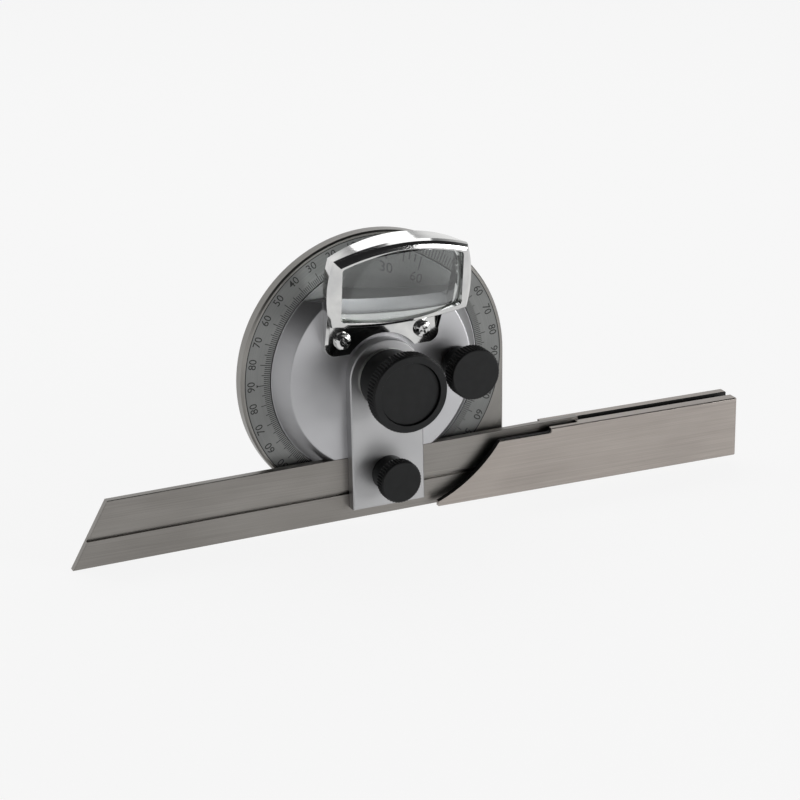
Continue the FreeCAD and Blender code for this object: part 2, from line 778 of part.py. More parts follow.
def hood_screw_hole(side):
    return hood_screw(side, hood_screw_radius + seat_clearance, cheek_inner, cavity_half + hood_screw_bite)


def make_hood_screws():
    """Short screws from inside the cheeks into the sides of the hood."""
    tip = cavity_half + hood_screw_bite - seat_clearance
    screws = []
    for side in (-1, 1):
        shank = hood_screw(side, hood_screw_radius, cheek_inner, tip)
        head = hood_screw(side, hood_screw_head, cheek_inner - hood_screw_head_height, cheek_inner)
        screws.append(shank.fuse(head))
    return screws


def cheek_section(side, inner, low, high, depth):
    """Upright rectangle across a cheek at this depth."""
    y = y_at(depth)
    xs = (side * inner, side * (inner + mag_plate_thickness))
    corners = [Vec(xs[0], y, low), Vec(xs[1], y, low), Vec(xs[1], y, high), Vec(xs[0], y, high)]
    return Part.makePolygon(corners + [corners[0]])


def make_magnifier_bracket():
    w = mag_plate_half
    near = arm_back + mag_plate_thickness
    base = block(-w, w, mag_plate_low, mag_plate_high, arm_back, near)
    corners = [e for e in base.Edges if e.BoundBox.YLength > mag_plate_thickness / 2
               and abs(e.BoundBox.ZMin - mag_plate_low) < 1e-4]
    base = base.makeFillet(mag_plate_corner, corners)
    base = base.cut(disc(arm_half_width + mag_plate_gap, arm_back - overcut, arm_front + overcut))
    for x in (-mag_screw_x, mag_screw_x):
        base = base.cut(disc(mag_screw_radius + seat_clearance, arm_back - overcut, arm_front + overcut,
                             x, mag_screw_z))
    for side in (-1, 1):
        foot = [(w - mag_plate_thickness, cheek_low, cheek_high, arm_back),
                (w - mag_plate_thickness, cheek_low, cheek_high, near),
                (cheek_inner, cheek_tip_low, cheek_tip_high, hood_back - cheek_reach / 2),
                (cheek_inner, cheek_tip_low, cheek_tip_high, cheek_tip)]
        sections = [cheek_section(side, *row) for row in foot]
        for i in range(3):
            base = base.fuse(loft(sections[i], sections[i + 1]))
        base = base.cut(hood_screw(side, hood_screw_radius + seat_clearance, 0, cavity_half))
    return base.removeSplitter()


def make_magnifier_screws():
    """Pan-head screws with crossed slots."""
    screws = []
    seat = arm_back + mag_plate_thickness
    crown = seat + mag_screw_head_height
    reach = mag_screw_head / 2
    half_slot = mag_screw_slot / 2
    for x in (-mag_screw_x, mag_screw_x):
        screw = turned([(0, seat - mag_screw_bite), (mag_screw_radius, seat - mag_screw_bite),
                        (mag_screw_radius, seat), (mag_screw_head, seat),
                        (mag_screw_head, seat + mag_screw_rim),
                        (mag_screw_brow, seat + mag_screw_brow_height),
                        (mag_screw_crown, crown), (0, crown)], x, mag_screw_z)
        slot = block(x - reach, x + reach, mag_screw_z - half_slot, mag_screw_z + half_slot,
                     seat + mag_screw_rim, crown + overcut)
        for turn in (mag_screw_turn, mag_screw_turn + 90):
            screw = screw.cut(spun(slot, turn, x, mag_screw_z))
        screws.append(screw)
    return screws


# ---------------------------------------------------------------- assembly
fixed = {
    "dial_body": make_dial_body(),
    "main_scale_ring": make_scale_ring(),
    "ring_gear": make_ring_gear(),
    "pivot_post": make_pivot_post(),
    "pivot_post_screws": make_post_screws(),
    "stock": make_stock(),
    "stock_screws": make_stock_screws(),
    "stock_dowels": make_stock_dowels(),
    "clamp_knob": make_clamp_knob(),
    "clamp_knob_cap": make_clamp_knob_cap(),
    "disc_spring": make_disc_spring(),
}
swivelling = {
    "turret": make_turret(),
    "turret_bush": make_turret_bush(),
    "vernier_plate": make_vernier_plate(),
    "vernier_screws": make_vernier_screws(),
    "clamp_arm": make_clamp_arm(),
    "arm_screws": make_arm_screws(),
    "guide_key": make_guide_key(),
    "clamp_shoe": make_clamp_shoe(),
    "clamp_washer": make_clamp_washer(),
    "pinion_bush": make_pinion_bush(),
    "pinion_shaft": make_pinion_shaft(),
    "fine_adjust_knob": make_fine_adjust_knob(),
    "fine_knob_set_screw": make_fine_set_screw(),
    "blade_clamp_knob": make_blade_clamp_knob(),
    "blade_clamp_screw": make_blade_clamp_screw(),
    "blade": make_blade(),
    "magnifier_bracket": make_magnifier_bracket(),
    "magnifier_screws": make_magnifier_screws(),
    "magnifier_frame": make_magnifier_frame(),
    "hood_screws": make_hood_screws(),
    "magnifier_lens": make_magnifier_lens(),
    "lens_retainer": make_lens_retainer(),
}

os.makedirs("parts", exist_ok=True)
for node, shape in list(fixed.items()) + list(swivelling.items()):
    solids = shape if isinstance(shape, list) else [shape]
    if node in swivelling:
        solids = [spun(solid, rest_reading) for solid in solids]
    whole = solids[0] if len(solids) == 1 else Part.makeCompound(solids)
    whole.exportStep("parts/" + node + ".step")
    print(node, len(whole.Solids), round(whole.Volume, 1), whole.isValid())
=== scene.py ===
"""Looks of the bevel protractor: metals, black knobs, engraved scales, lens, light and camera."""
import json
import math

import bmesh
import bpy
from mathutils import Matrix, Quaternion, Vector


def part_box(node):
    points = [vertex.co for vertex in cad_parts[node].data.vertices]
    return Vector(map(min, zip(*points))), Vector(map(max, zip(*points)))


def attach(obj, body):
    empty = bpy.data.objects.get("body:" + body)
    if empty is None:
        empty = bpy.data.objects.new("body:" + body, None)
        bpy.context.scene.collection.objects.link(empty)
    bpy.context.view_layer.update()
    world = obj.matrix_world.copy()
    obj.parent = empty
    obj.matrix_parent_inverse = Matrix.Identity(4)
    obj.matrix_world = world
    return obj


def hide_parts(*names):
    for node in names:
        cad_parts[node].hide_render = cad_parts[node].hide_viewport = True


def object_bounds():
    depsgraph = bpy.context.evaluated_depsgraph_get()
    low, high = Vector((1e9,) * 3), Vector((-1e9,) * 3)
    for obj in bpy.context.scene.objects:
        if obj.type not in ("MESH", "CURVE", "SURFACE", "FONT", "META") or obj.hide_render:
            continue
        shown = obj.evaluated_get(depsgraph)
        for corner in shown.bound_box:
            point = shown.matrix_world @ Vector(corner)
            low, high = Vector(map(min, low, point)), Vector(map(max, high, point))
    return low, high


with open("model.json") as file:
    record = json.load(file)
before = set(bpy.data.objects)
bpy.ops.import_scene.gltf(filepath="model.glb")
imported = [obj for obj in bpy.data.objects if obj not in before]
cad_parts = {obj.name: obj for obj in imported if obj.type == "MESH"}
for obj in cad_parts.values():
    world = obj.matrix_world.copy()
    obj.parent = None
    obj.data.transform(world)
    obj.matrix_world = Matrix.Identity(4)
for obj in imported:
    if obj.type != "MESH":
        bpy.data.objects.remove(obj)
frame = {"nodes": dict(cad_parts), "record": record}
CAD_BOX = [list(corner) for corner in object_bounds()]

MM = 0.001
NODES = frame["nodes"]
JOINTS = {joint["name"]: joint for joint in frame["record"]["behaviour"]["joints"]}

# ---------------------------------------------------------------- sizes of the engraved marks, mm
MARK_DEPTH = 0.03               # paint sunk into the metal
MARK_PROUD = 0.012              # paint above the metal, so that it shows
LINE_WIDTH = 0.21
SCALE_GAP = 0.2                 # between the turret and the ring
SCALE_START = 0.15              # from the ring's inner edge to the first marks
SCALE_TICKS = {1: 1.75, 5: 2.45, 10: 3.15}
NUMBER_CIRCLE = 36.15
NUMBER_HEIGHT = 2.25
RIM_LINE = (37.72, 37.98)       # inner and outer radius
RIM_LINE_PARTS = 180
POINTER_CIRCLE = 34.6
POINTER_SIZE = 0.8
VERNIER_SPAN = 23.0             # degrees for twelve divisions
VERNIER_TICKS = {1: 1.3, 3: 1.9, 6: 2.4}
VERNIER_NUMBER_DROP = 3.7       # numbers below the vernier's outer edge
VERNIER_NUMBER_HEIGHT = 1.7
VERNIER_DIVISIONS = 12          # each way, of five minutes
VERNIER_NUMBERED = 6
DIGIT_SHARE = 0.73              # height of a digit as a share of the font's size
DIGIT_WEIGHT = 0.004            # thickening of a digit as a share of its height

# ---------------------------------------------------------------- lens, mm and degrees
LENS_LEAN = 8.0
LENS_BOWS = (1.65, 2.9)         # foot and top
LENS_CORNER = 1.3               # rounding of the corners
LENS_LAP = 0.3                  # rim of the glass hidden behind the bezel
LENS_RADIUS = 50.0              # of the domed front
LENS_RINGS = 34
LENS_EDGE_STEPS = 26
LENS_CORNER_STEPS = 5

# ---------------------------------------------------------------- view, mm and degrees
VIEW_AIM = (4.8, -9.9, -7.9)
VIEW_DISTANCE = 756.6
VIEW_AZIMUTH = 24.03
VIEW_ELEVATION = 19.42
VIEW_ROLL = -0.54
VIEW_LENS = 125.0

# ---------------------------------------------------------------- studio
# Where the room turns from dark to lit, as parts of a unit direction.
BACKDROP_FROM = (-0.1, 0.45)
RIGHT_WALL_FROM = (0.45, 0.8)
RIGHT_WALL_LEVEL = 0.9
CEILING_FROM = (0.75, 0.35)
FLOOR_REACH = 6.0               # metres each way
FLOOR_GLOW = 0.88               # share of the floor's white that is seen directly
# Name, place from the aim in metres, size in metres, watts.
LAMPS = (
    ("key_right", (0.55, -0.6, 0.05), (0.5, 0.3), 4.5),
    ("fill_left", (-0.8, -0.3, 0.1), (0.4, 0.5), 0.8),
    ("top_back", (0.1, 0.5, 0.6), (0.7, 0.3), 1.2),
)


# ---------------------------------------------------------------- places from the frame
def low(node):
    return Vector(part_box(node)[0])


def high(node):
    return Vector(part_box(node)[1])


def joint_point(name):
    """Point on a joint's axis."""
    return Vector(JOINTS[name]["pos_m"])


# Angle between the blade and the stock at rest, from the blade's slide.
SLIDE = Vector(JOINTS["blade_slide"]["axis"])
REST_TURN = math.atan2(SLIDE.z, SLIDE.x)
AXIS_POINT = joint_point("turret_swivel")
DIAL_Y = low("main_scale_ring").y


# ---------------------------------------------------------------- materials
def srgb(code):
    """Linear colour of an sRGB hex value."""
    parts = [int(code[i:i + 2], 16) / 255 for i in (1, 3, 5)]
    return [p / 12.92 if p <= 0.04045 else ((p + 0.055) / 1.055) ** 2.4 for p in parts] + [1.0]


def add(tree, kind, settings=None, values=None, links=None):
    """Add a shader node with its settings, input values and links."""
    node = tree.nodes.new("ShaderNode" + kind)
    for name, value in (settings or {}).items():
        setattr(node, name, value)
    for name, value in (values or {}).items():
        node.inputs[name].default_value = value
    for name, source in (links or {}).items():
        tree.links.new(source, node.inputs[name])
    return node


def start(name):
    """A material with its tree cleared to one principled shader."""
    material = bpy.data.materials.new(name)
    material.use_nodes = True
    tree = material.node_tree
    tree.nodes.clear()
    shader = add(tree, "BsdfPrincipled")
    out = add(tree, "OutputMaterial")
    tree.links.new(shader.outputs["BSDF"], out.inputs["Surface"])
    return material, tree, shader


def ramp(tree, source, stops):
    """Colour ramp fed by a value; stops are (place, hex)."""
    node = add(tree, "ValToRGB", links={"Fac": source})
    marks = node.color_ramp.elements
    while len(marks) < len(stops):
        marks.new(0.5)
    for mark, (place, code) in zip(marks, stops):
        mark.position = place
        mark.color = srgb(code)
    return node.outputs["Color"]


def spread(tree, source, low_value, high_value):
    """Map a 0 to 1 value onto a range."""
    return add(tree, "MapRange", values={"To Min": low_value, "To Max": high_value},
               links={"Value": source}).outputs["Result"]


def noise(tree, vector, detail=3.0, roughness=0.55):
    """Noise from 0 to 1, one cell to a unit of the vector."""
    return add(tree, "TexNoise", values={"Scale": 1.0, "Detail": detail, "Roughness": roughness},
               links={"Vector": vector}).outputs["Fac"]


def stretched(tree, sizes_mm):
    """Object coordinates in pattern cells of these sizes along X, Y and Z."""
    where = add(tree, "TexCoord").outputs["Object"]
    scale = [1 / (size * MM) for size in sizes_mm]
    return add(tree, "Mapping", values={"Scale": scale}, links={"Vector": where}).outputs["Vector"]


def mathed(tree, operation, values, links):
    """Result of a maths node."""
    return add(tree, "Math", {"operation": operation}, values, links).outputs["Value"]


def ringed(tree, across_mm, around=1.0):
    """Coordinates that run out from the swivel axis, for turned faces."""
    where = add(tree, "TexCoord").outputs["Object"]
    apart = add(tree, "SeparateXYZ", links={"Vector": where})
    x, y, z = (apart.outputs[i] for i in "XYZ")
    flat = add(tree, "CombineXYZ", links={"X": x, "Z": z}).outputs["Vector"]
    radius = add(tree, "VectorMath", {"operation": "LENGTH"}, links={0: flat}).outputs["Value"]
    angle = mathed(tree, "ARCTAN2", {}, {0: z, 1: x})
    cells = mathed(tree, "MULTIPLY", {1: 1 / (across_mm * MM)}, {0: radius})
    turns = mathed(tree, "MULTIPLY", {1: around}, {0: angle})
    deep = mathed(tree, "MULTIPLY", {1: 1 / (across_mm * MM)}, {0: y})
    return add(tree, "CombineXYZ", links={"X": cells, "Y": turns, "Z": deep}).outputs["Vector"]


def bumped(tree, shader, height, distance_mm, edge_mm=0.12):
    """Fine relief over edges broken to this radius, so that they catch the light."""
    edge = add(tree, "Bevel", {"samples": 4}, {"Radius": edge_mm * MM})
    bump = add(tree, "Bump", values={"Distance": distance_mm * MM},
               links={"Height": height, "Normal": edge.outputs["Normal"]})
    tree.links.new(bump.outputs["Normal"], shader.inputs["Normal"])


def ground_steel(name, dark, light, line_mm=0.12, across="Z"):
    """Hardened steel, surface ground along its length: fine straight lines and slow tone changes."""
    material, tree, shader = start(name)
    lines = noise(tree, stretched(tree, (30, line_mm, line_mm)), 4.0, 0.6)
    clouds = noise(tree, stretched(tree, (26, 9, 9)), 2.0, 0.5)
    both = mathed(tree, "MULTIPLY_ADD", {1: 0.6}, {0: lines, 2: spread(tree, clouds, 0.0, 0.4)})
    tree.links.new(ramp(tree, both, [(0.3, dark), (0.7, light)]), shader.inputs["Base Color"])
    shader.inputs["Metallic"].default_value = 1.0
    tree.links.new(spread(tree, lines, 0.24, 0.46), shader.inputs["Roughness"])
    bumped(tree, shader, lines, 0.004)
    return material


def turned_steel(name, dark, light, rough=(0.28, 0.42), line_mm=0.10):
    """Stainless steel, faced on a lathe: fine rings about the swivel axis."""
    material, tree, shader = start(name)
    rings = noise(tree, ringed(tree, line_mm, 0.8), 3.0, 0.55)
    clouds = noise(tree, stretched(tree, (14, 14, 14)), 2.0, 0.5)
    both = mathed(tree, "MULTIPLY_ADD", {1: 0.5}, {0: rings, 2: spread(tree, clouds, 0.0, 0.5)})
    tree.links.new(ramp(tree, both, [(0.3, dark), (0.7, light)]), shader.inputs["Base Color"])
    shader.inputs["Metallic"].default_value = 1.0
    tree.links.new(spread(tree, rings, *rough), shader.inputs["Roughness"])
    bumped(tree, shader, rings, 0.003)
    return material


def satin_chrome(name, dark, light):
    """Blasted steel under satin chrome: an even, silky grey with a very fine grain."""
    material, tree, shader = start(name)
    grain = noise(tree, stretched(tree, (0.16, 0.16, 0.16)), 2.0, 0.6)
    clouds = noise(tree, stretched(tree, (18, 18, 18)), 2.0, 0.5)
    tree.links.new(ramp(tree, clouds, [(0.3, dark), (0.7, light)]), shader.inputs["Base Color"])
    shader.inputs["Metallic"].default_value = 1.0
    tree.links.new(spread(tree, grain, 0.36, 0.48), shader.inputs["Roughness"])
    bumped(tree, shader, grain, 0.004)
    return material


def bright_chrome(name):
    """Die-cast zinc under bright chrome: mirror-like, with the faint waviness of a polished casting."""
    material, tree, shader = start(name)
    waves = noise(tree, stretched(tree, (5, 5, 5)), 2.0, 0.5)
    haze = noise(tree, stretched(tree, (0.5, 0.5, 0.5)), 3.0, 0.6)
    tree.links.new(ramp(tree, waves, [(0.3, "#c2c2c2"), (0.7, "#d4d4d2")]), shader.inputs["Base Color"])
    shader.inputs["Metallic"].default_value = 1.0
    tree.links.new(spread(tree, haze, 0.04, 0.13), shader.inputs["Roughness"])
    bumped(tree, shader, waves, 0.03)
    return material


def plain_metal(name, dark, light, rough=(0.25, 0.4)):
    """Machined screws, pins and bushes."""
    material, tree, shader = start(name)
    marks = noise(tree, stretched(tree, (0.3, 0.3, 0.3)), 3.0, 0.6)
    tree.links.new(ramp(tree, marks, [(0.3, dark), (0.7, light)]), shader.inputs["Base Color"])
    shader.inputs["Metallic"].default_value = 1.0
    tree.links.new(spread(tree, marks, *rough), shader.inputs["Roughness"])
    bumped(tree, shader, marks, 0.006)
    return material


def black_acetal(name, rough=(0.42, 0.58)):
    """Black acetal, moulded: matt, with a fine moulding grain."""
    material, tree, shader = start(name)
    grain = noise(tree, stretched(tree, (0.2, 0.2, 0.2)), 3.0, 0.6)
    dust = noise(tree, stretched(tree, (3, 3, 3)), 2.0, 0.5)
    tree.links.new(ramp(tree, dust, [(0.35, "#0e0f10"), (0.7, "#151617")]), shader.inputs["Base Color"])
    shader.inputs["Specular IOR Level"].default_value = 0.22
    tree.links.new(spread(tree, grain, *rough), shader.inputs["Roughness"])
    bumped(tree, shader, grain, 0.01)
    return material


def scale_paint(name):
    """Black filler rubbed into the engraving: flat and slightly uneven."""
    material, tree, shader = start(name)
    wear = noise(tree, stretched(tree, (0.6, 0.6, 0.6)), 3.0, 0.6)
    tree.links.new(ramp(tree, wear, [(0.3, "#070707"), (0.75, "#1c1c1c")]), shader.inputs["Base Color"])
    tree.links.new(spread(tree, wear, 0.5, 0.75), shader.inputs["Roughness"])
    return material


def black_oxide(name):
    """Milled inner faces, dark and dull with coarse cutter marks; part of this near-black colour is the
    faces' own dull finish and part is painted shade for the slots and pockets.
    """
    material, tree, shader = start(name)
    marks = noise(tree, stretched(tree, (0.5, 2.5, 0.5)), 3.0, 0.6)
    tree.links.new(ramp(tree, marks, [(0.3, "#0d0d0d"), (0.75, "#2a2928")]), shader.inputs["Base Color"])
    shader.inputs["Metallic"].default_value = 0.5
    tree.links.new(spread(tree, marks, 0.5, 0.7), shader.inputs["Roughness"])
    bumped(tree, shader, marks, 0.01)
    return material


def optical_glass(name):
    """Polished crown glass of the magnifier; lamps shine through it onto the vernier."""
    material, tree, shader = start(name)
    film = noise(tree, stretched(tree, (8, 8, 8)), 2.0, 0.5)
    tree.links.new(ramp(tree, film, [(0.3, "#e4e9e8"), (0.7, "#eef1f0")]), shader.inputs["Base Color"])
    tree.links.new(spread(tree, film, 0.0, 0.012), shader.inputs["Roughness"])
    shader.inputs["Transmission Weight"].default_value = 1.0
    shader.inputs["IOR"].default_value = 1.62
    clear = add(tree, "BsdfTransparent")
    path = add(tree, "LightPath")
    mix = add(tree, "MixShader", links={0: path.outputs["Is Shadow Ray"], 1: shader.outputs["BSDF"],
                                        2: clear.outputs["BSDF"]})
    out = next(n for n in tree.nodes if n.type == "OUTPUT_MATERIAL")
    tree.links.new(mix.outputs["Shader"], out.inputs["Surface"])
    return material


BLADE_STEEL = ground_steel("ground_steel_blade", "#74716d", "#8e8b87", 0.11)
STOCK_STEEL = ground_steel("ground_steel_stock", "#8b8580", "#a59e98", 0.16)
BODY_STEEL = turned_steel("turned_steel_body", "#72706d", "#8c8a86")
SCALE_STEEL = turned_steel("turned_steel_scale", "#646564", "#797a79", (0.34, 0.46), 0.14)
TURRET_CHROME = satin_chrome("satin_chrome_turret", "#a3a3a5", "#afafb1")
ARM_CHROME = satin_chrome("satin_chrome_arm", "#a2a2a3", "#aeaeaf")
HOOD_CHROME = bright_chrome("bright_chrome_hood")
SCREW_STEEL = plain_metal("zinc_plated_steel", "#9a9c98", "#b5b6b1")
BRASS = plain_metal("turned_brass", "#a98f55", "#c4a86a")
KNOB_BLACK = black_acetal("black_acetal")
FILLER = scale_paint("black_scale_filler")
# dark inner finish that also paints the shade in the stock's slots and pockets
INNER_PAINTED_SHADE = black_oxide("dark_inner_steel_painted_shade")
LENS_GLASS = optical_glass("optical_glass")

DRESSED = (
    (BODY_STEEL, ("dial_body",)),
    (SCALE_STEEL, ("main_scale_ring", "vernier_plate")),
    (BRASS, ("ring_gear", "turret_bush", "clamp_shoe", "pinion_bush")),
    (SCREW_STEEL, ("pivot_post", "pivot_post_screws", "stock_screws", "stock_dowels",
                   "vernier_screws", "arm_screws", "guide_key", "clamp_washer", "lens_retainer",
                   "disc_spring", "pinion_shaft", "fine_knob_set_screw", "blade_clamp_screw")),
    (STOCK_STEEL, ("stock",)),
    (TURRET_CHROME, ("turret",)),
    (ARM_CHROME, ("clamp_arm",)),
    (HOOD_CHROME, ("magnifier_bracket", "magnifier_screws", "magnifier_frame", "hood_screws")),
    (LENS_GLASS, ("magnifier_lens",)),
    (BLADE_STEEL, ("blade",)),
    (KNOB_BLACK, ("clamp_knob", "clamp_knob_cap", "fine_adjust_knob", "blade_clamp_knob")),
)
SMOOTH_ANGLE = math.radians(24)
FACE_REACH = 0.35 * MM          # a face this close to the outside of its node is an outer face


def dress(node, material):
    """Give a CAD node its finish and smooth its round faces."""
    mesh = NODES[node].data
    mesh.materials.clear()
    mesh.materials.append(material)
    mesh.shade_smooth()
    mesh.set_sharp_from_angle(angle=SMOOTH_ANGLE)


def blacken_inside(node, along):
    """Dark dull colour with painted shade on the faces of slots, pockets and steps in a bar that runs along
    this direction.
    """
    piece = NODES[node]
    across = Vector((-along.z, 0, along.x))
    axes = (along, Vector((0, 1, 0)), across)
    points = [piece.matrix_world @ v.co for v in piece.data.vertices]
    reach = [(min(p.dot(a) for p in points), max(p.dot(a) for p in points)) for a in axes]
    piece.data.materials.append(INNER_PAINTED_SHADE)
    turn = piece.matrix_world.to_3x3()
    for face in piece.data.polygons:
        normal = turn @ face.normal
        spot = piece.matrix_world @ face.center
        facing = max(range(3), key=lambda i: abs(normal.dot(axes[i])))
        end = reach[facing][1] if normal.dot(axes[facing]) > 0 else reach[facing][0]
        if abs(spot.dot(axes[facing]) - end) > FACE_REACH:
            face.material_index = 1


for material, nodes in DRESSED:
    for node in nodes:
        dress(node, material)
# painted shade on the stock's slots, pockets and steps
blacken_inside("stock", Vector((1, 0, 0)))


# ---------------------------------------------------------------- engraved marks
def keep(name, mesh, body, material):
    """Make an object from mesh data that moves with a body."""
    piece = bpy.data.objects.new(name, mesh)
    bpy.context.scene.collection.objects.link(piece)
    mesh.materials.clear()
    mesh.materials.append(material)
    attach(piece, body)
    return piece


def radial(angle, radius, y):
    """Point on a dial at this angle, anticlockwise from the top."""
    return Vector((AXIS_POINT.x - radius * math.sin(angle), y, AXIS_POINT.z + radius * math.cos(angle)))


def add_bar(bm, angle, inner, outer, width, y):
    """Thin radial bar of filler, sunk a little into the face at y."""
    centre = radial(angle, (inner + outer) / 2, y + (MARK_DEPTH - MARK_PROUD) / 2 * MM)
    size = Matrix.Diagonal((width, (MARK_DEPTH + MARK_PROUD) * MM, outer - inner, 1))
    turn = Matrix.Rotation(-angle, 4, "Y")
    bmesh.ops.create_cube(bm, size=1, matrix=Matrix.Translation(centre) @ turn @ size)


def finish_mesh(bm, name):
    """Turn a working mesh into mesh data."""
    mesh = bpy.data.meshes.new(name)
    bm.to_mesh(mesh)
    bm.free()
    return mesh


def tick_length(step, lengths):
    """Length of the mark at this whole step: the longest whose interval divides it."""
    return max(length for every, length in lengths.items() if step % every == 0) * MM


def number_mesh(words, height_mm):
    """Mesh of a generic number, centred, in the XZ plane and facing -Y."""
    text = bpy.data.curves.new("number", "FONT")
    text.body = words
    text.align_x = "CENTER"
    text.align_y = "CENTER"
    text.size = height_mm * MM / DIGIT_SHARE
    text.extrude = (MARK_DEPTH + MARK_PROUD) / 2 * MM
    text.offset = DIGIT_WEIGHT * height_mm * MM
    text.resolution_u = 3
    holder = bpy.data.objects.new("number", text)
    bpy.context.scene.collection.objects.link(holder)
    bpy.context.view_layer.update()
    mesh = bpy.data.meshes.new_from_object(holder)
    bpy.data.objects.remove(holder)
    bpy.data.curves.remove(text)
    xs = [v.co.x for v in mesh.vertices]
    ys = [v.co.y for v in mesh.vertices]
    centre = Vector(((min(xs) + max(xs)) / 2, (min(ys) + max(ys)) / 2, 0))
    mesh.transform(Matrix.Rotation(math.pi / 2, 4, "X") @ Matrix.Translation(-centre))
    return mesh


def add_number(bm, words, height_mm, angle, radius, y):
    """Add a number to a working mesh, its foot towards the dial's centre."""
    mesh = number_mesh(words, height_mm)
    place = Matrix.Translation(radial(angle, radius, y + (MARK_DEPTH - MARK_PROUD) / 2 * MM))
    mesh.transform(place @ Matrix.Rotation(-angle, 4, "Y"))
    bm.from_mesh(mesh)
    bpy.data.meshes.remove(mesh)


def make_main_scale():
    """Four quadrants of 0 to 90 degrees, with 0 at the top and the bottom."""
    inner = SCALE_INNER + SCALE_START * MM
    ticks = bmesh.new()
    numbers = bmesh.new()
    for degree in range(360):
        angle = math.radians(degree)
        add_bar(ticks, angle, inner, inner + tick_length(degree, SCALE_TICKS), LINE_WIDTH * MM, DIAL_Y)
        if degree % 10 == 0:
            value = 90 - abs(degree % 180 - 90)
            add_number(numbers, str(value), NUMBER_HEIGHT, angle, NUMBER_CIRCLE * MM, DIAL_Y)
    keep("scale_graduations", finish_mesh(ticks, "scale_graduations"), "frame", FILLER)
    keep("scale_numbers", finish_mesh(numbers, "scale_numbers"), "frame", FILLER)


def make_rim_line():
    """Dark line where the scale ring meets the body."""
    bm = bmesh.new()
    count = RIM_LINE_PARTS
    y = DIAL_Y - MARK_PROUD * MM
    rows = [[bm.verts.new(radial(2 * math.pi * i / count, radius * MM, y)) for i in range(count)]
            for radius in RIM_LINE]
    for i in range(count):
        j = (i + 1) % count
        bm.faces.new((rows[0][i], rows[0][j], rows[1][j], rows[1][i]))
    bmesh.ops.recalc_face_normals(bm, faces=bm.faces)
    keep("rim_line", finish_mesh(bm, "rim_line"), "frame", FILLER)


def make_pointer():
    """Small triangle at the left 90 mark, pointing inwards."""
    bm = bmesh.new()
    size = POINTER_SIZE * MM
    base = POINTER_CIRCLE * MM
    spots = [(base - size, 0.0), (base, size / 2), (base, -size / 2)]
    front = [bm.verts.new((AXIS_POINT.x - r, DIAL_Y - MARK_PROUD * MM, AXIS_POINT.z + z)) for r, z in spots]
    face = bm.faces.new(front)
    out = bmesh.ops.extrude_face_region(bm, geom=[face])
    moved = [v for v in out["geom"] if isinstance(v, bmesh.types.BMVert)]
    bmesh.ops.translate(bm, verts=moved, vec=(0, MARK_DEPTH * MM, 0))
    bmesh.ops.recalc_face_normals(bm, faces=bm.faces)
    keep("scale_pointer", finish_mesh(bm, "scale_pointer"), "frame", FILLER)


def make_vernier_scale():
    """Twelve divisions of five minutes each way from the vernier's own zero."""
    y = low("vernier_plate").y
    outer = VERNIER_OUTER - SCALE_START * MM
    ticks = bmesh.new()
    numbers = bmesh.new()
    circle = outer - VERNIER_NUMBER_DROP * MM
    for step in range(-VERNIER_DIVISIONS, VERNIER_DIVISIONS + 1):
        angle = math.radians(step * VERNIER_SPAN / VERNIER_DIVISIONS) - REST_TURN
        add_bar(ticks, angle, outer - tick_length(step, VERNIER_TICKS), outer, LINE_WIDTH * MM, y)
        if step % VERNIER_NUMBERED == 0:
            add_number(numbers, str(abs(step) * 5), VERNIER_NUMBER_HEIGHT, angle, circle, y)
    keep("vernier_graduations", finish_mesh(ticks, "vernier_graduations"), "turret", FILLER)
    keep("vernier_numbers", finish_mesh(numbers, "vernier_numbers"), "turret", FILLER)


# ---------------------------------------------------------------- magnifying lens
def lens_turn():
    """From the lens's own axes to the tool's: its lean forward, then the turn of the turret at rest."""
    return Matrix.Rotation(-REST_TURN, 4, "Y") @ Matrix.Rotation(math.radians(LENS_LEAN), 4, "X")


def lens_outline(half, foot, top, inset):
    """Points round the glass, anticlockwise from the lower right corner."""
    half, foot, top = half - inset, foot + inset, top - inset
    corners = [(half, foot), (half, top), (-half, top), (-half, foot)]
    bows = (0.0, LENS_BOWS[1] * MM, 0.0, -LENS_BOWS[0] * MM)
    points = []
    for i in range(4):
        a, b, before = corners[i], corners[(i + 1) % 4], corners[i - 1]
        near = LENS_CORNER * MM / math.dist(a, b)
        back = LENS_CORNER * MM / math.dist(a, before)
        enter = bowed_point(before, a, bows[i - 1], 1 - back)
        leave = bowed_point(a, b, bows[i], near)
        for k in range(1, LENS_CORNER_STEPS):
            t = k / LENS_CORNER_STEPS
            points.append(tuple((1 - t) ** 2 * e + 2 * t * (1 - t) * c + t * t * v
                                for e, c, v in zip(enter, a, leave)))
        for k in range(LENS_EDGE_STEPS + 1):
            points.append(bowed_point(a, b, bows[i], near + (1 - 2 * near) * k / LENS_EDGE_STEPS))
    return points


def bowed_point(a, b, bow, part):
    """Point part of the way along an edge that bows upright by this much in its middle."""
    x, z = (p + (q - p) * part for p, q in zip(a, b))
    return x, z + bow * 4 * part * (1 - part)


